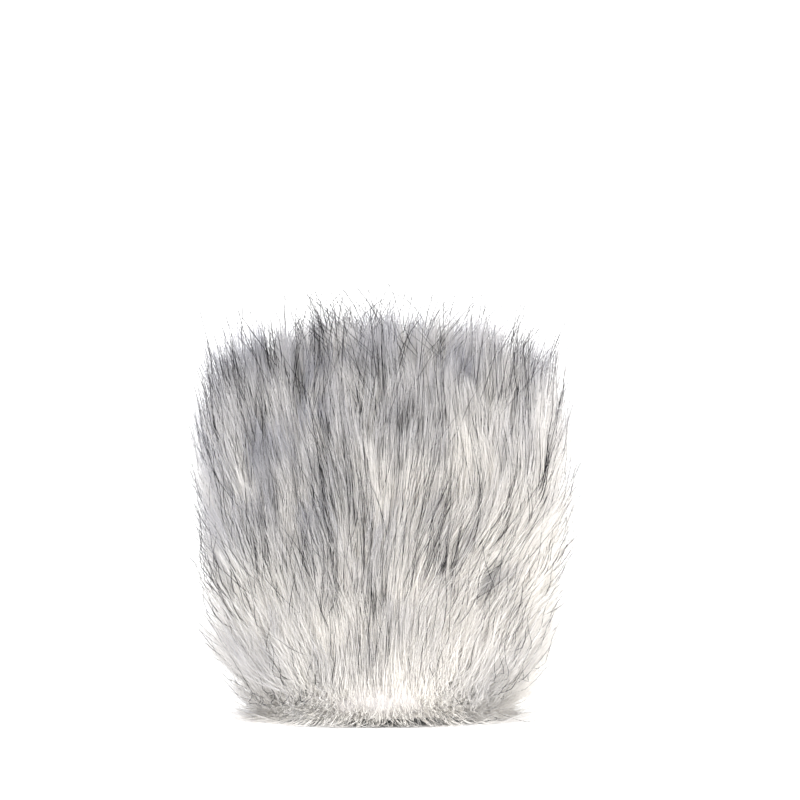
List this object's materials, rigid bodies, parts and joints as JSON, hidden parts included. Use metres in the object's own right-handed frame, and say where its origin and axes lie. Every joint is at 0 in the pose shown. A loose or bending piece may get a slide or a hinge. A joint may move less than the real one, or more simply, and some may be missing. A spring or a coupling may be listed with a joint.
{
  "type": "furry windscreen",
  "caption": "Long-pile faux-fur wind cover for a microphone or handheld recorder: a flattened sewn sock with rounded corners, closed on top, and an elastic mouth below.",
  "frame": {"origin": "centre of the mouth, on the plane of the short hairs that the windscreen stands on", "axes": "+Z along the mouth's axis to the closed end, +X to the right across the wide front, -Y out of the front panel"},
  "size_m": [0.114, 0.062, 0.12],
  "materials": {
    "modacrylic_pile": "long soft pile",
    "knit_backing": "matt polyester knit",
    "hem_knit": "matt polyester knit, gathered",
    "elastic": "ribbed woven elastic",
    "thread": "polyester thread"
  },
  "bodies": {
    "sock": {"front_backing": "knit_backing", "back_backing": "knit_backing", "front_pile": "modacrylic_pile", "back_pile": "modacrylic_pile", "elastic_band": "elastic", "elastic_join_stitches": "thread", "seam_lockstitch": "thread", "seam_overlock": "thread"},
    "mouth_left": {"mouth_pile_left": "modacrylic_pile", "hem_tunnel_left": "hem_knit", "hem_stitches_left": "thread"},
    "mouth_right": {"mouth_pile_right": "modacrylic_pile", "hem_tunnel_right": "hem_knit", "hem_stitches_right": "thread"}
  },
  "joints": [
    {"name": "mouth_left_stretch", "type": "slide", "parent": "sock", "child": "mouth_left", "axis": [-1, 0, 0], "range_m": [0, 0.014], "stiffness_N_per_m": 120, "deforming": ["front_backing", "back_backing", "elastic_band", "elastic_join_stitches"]},
    {"name": "mouth_right_stretch", "type": "slide", "parent": "sock", "child": "mouth_right", "axis": [1, 0, 0], "range_m": [0, 0.014], "stiffness_N_per_m": 120, "deforming": ["front_backing", "back_backing", "elastic_band", "elastic_join_stitches"]}
  ],
  "couplings": [
    {"joint": "mouth_right_stretch", "follows": "mouth_left_stretch", "ratio": 1}
  ]
}
